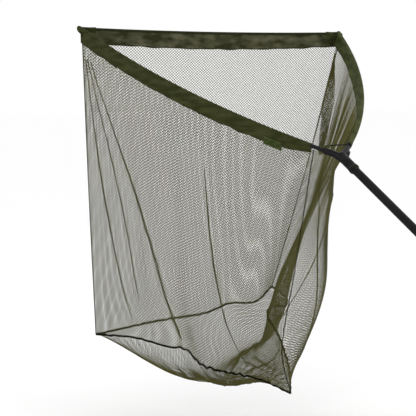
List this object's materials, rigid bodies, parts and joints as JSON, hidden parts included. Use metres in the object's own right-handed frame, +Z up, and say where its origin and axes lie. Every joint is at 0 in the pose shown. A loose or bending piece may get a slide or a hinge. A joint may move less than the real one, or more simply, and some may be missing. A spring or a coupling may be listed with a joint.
{
  "type": "landing net",
  "caption": "Carp landing net: two-section handle, Y spreader block, two bowed plug-in arms with fabric sleeves, taut front cord and a deep olive diamond-mesh bag.",
  "frame": {"origin": "middle of the hand grip, on the handle's axis", "axes": "+Z up; +Y horizontal, from the handle towards the net; the handle and the rim rise 27 degrees towards +Y; arm A on the -X side, arm B on the +X side"},
  "size_m": [1.0946, 2.5263, 1.2999],
  "materials": {
    "handle_blank": "satin black fibre-reinforced resin tube",
    "grip_foam": "fine-cell matt foam grip",
    "cap_rubber": "matt moulded rubber",
    "anodised_black": "black anodised",
    "brass_thread": "turned brass",
    "steel_stud": "plated steel thread",
    "block_moulding": "moulded black nylon, slight sheen",
    "arm_glass_fibre": "black glass-fibre rod",
    "black_cord": "braided cord",
    "black_elastic": "covered elastic cord",
    "sleeve_fabric": "dark olive woven polyester",
    "net_mesh": "olive knotless diamond mesh",
    "seam_tape": "dark olive bound seam",
    "label_weave": "woven green tab, no mark"
  },
  "bodies": {
    "handle": {"butt_section_tube": "handle_blank", "butt_grip": "grip_foam", "butt_cap": "cap_rubber", "grip_trim_ring": "anodised_black", "joint_band_lower": "anodised_black", "joint_spigot": "handle_blank"},
    "top_section": {"top_section_tube": "handle_blank", "joint_band_upper": "anodised_black", "thread_insert": "brass_thread"},
    "lock_ring": {"lock_ring": "anodised_black"},
    "head": {"spreader_block": "block_moulding", "threaded_stud": "steel_stud", "front_cord": "black_cord", "front_sleeve": "sleeve_fabric", "wall_a_mesh": "net_mesh", "wall_b_mesh": "net_mesh", "front_wall_mesh": "net_mesh", "rear_gore_mesh": "net_mesh", "base_mesh": "net_mesh", "corner_seam_a": "seam_tape", "corner_seam_b": "seam_tape", "root_seam": "seam_tape", "base_cord_a": "seam_tape", "base_cord_b": "seam_tape", "base_cord_front": "seam_tape", "rear_hem_tape": "sleeve_fabric", "rear_elastic": "black_elastic"},
    "arm_a": {"arm_a_rod": "arm_glass_fibre", "arm_a_collar": "block_moulding", "arm_a_tip_cap": "block_moulding", "arm_a_cord_knot": "black_cord", "arm_a_sleeve": "sleeve_fabric", "label_tab": "label_weave"},
    "arm_b": {"arm_b_rod": "arm_glass_fibre", "arm_b_collar": "block_moulding", "arm_b_tip_cap": "block_moulding", "arm_b_cord_knot": "black_cord", "arm_b_sleeve": "sleeve_fabric", "elastic_loop": "black_elastic"}
  },
  "joints": [
    {"name": "handle_joint_slide", "type": "slide", "parent": "handle", "child": "top_section", "axis": [0, 0.891, 0.454], "range_m": [0, 0.09]},
    {"name": "head_lift", "type": "slide", "parent": "top_section", "child": "lock_ring", "axis": [0, 0.891, 0.454], "range_m": [0, 0.01524]},
    {"name": "head_unscrew", "type": "hinge", "parent": "lock_ring", "child": "head", "pos_m": [0, 1.51471, 0.77178], "axis": [0, 0.891, 0.454], "range_deg": [0, 4320]},
    {"name": "arm_a_pull", "type": "slide", "parent": "head", "child": "arm_a", "axis": [-0.6884, 0.6463, 0.3293], "range_m": [0, 0.04]},
    {"name": "arm_b_pull", "type": "slide", "parent": "head", "child": "arm_b", "axis": [0.6884, 0.6463, 0.3293], "range_m": [0, 0.04]}
  ],
  "couplings": [
    {"joint": "head_lift", "follows": "head_unscrew", "m_per_rad": 0.00020213}
  ]
}
